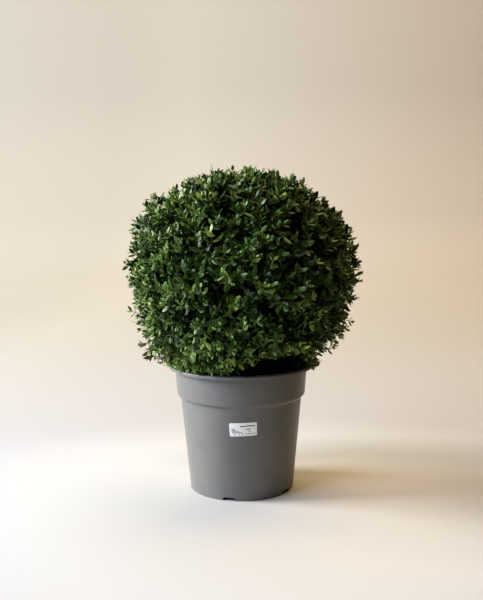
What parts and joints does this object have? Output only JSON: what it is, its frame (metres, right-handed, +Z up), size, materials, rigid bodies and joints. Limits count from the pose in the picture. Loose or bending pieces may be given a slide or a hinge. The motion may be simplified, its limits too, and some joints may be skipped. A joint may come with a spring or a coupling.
{
  "type": "clipped box topiary ball in a nursery pot",
  "caption": "Evergreen shrub clipped to a leafy ball on a short hidden stem, growing in a round tapered plastic nursery pot with a stepped collar, turned lip and drainage notches.",
  "frame": {"origin": "middle of the pot's flat underside, on the surface that the pot stands on", "axes": "+Z up along the pot's axis, -Y to the front, where the label is, +X to the right seen from the front"},
  "size_m": [0.4055, 0.3956, 0.5602],
  "materials": {
    "pot_plastic": "mid-grey injection-moulded polypropylene, satin",
    "potting_mix": "dark moist peat and bark mix, matt and crumbly",
    "label_paper": "white coated sticker with plain grey bars",
    "bark": "pale grey-brown, finely ridged bark",
    "leaves": "small leathery leaves, dark glossy green above and paler below"
  },
  "bodies": {
    "root": {"pot": "pot_plastic", "soil": "potting_mix", "label": "label_paper", "trunk": "bark", "foliage_ball": "leaves"}
  },
  "joints": []
}
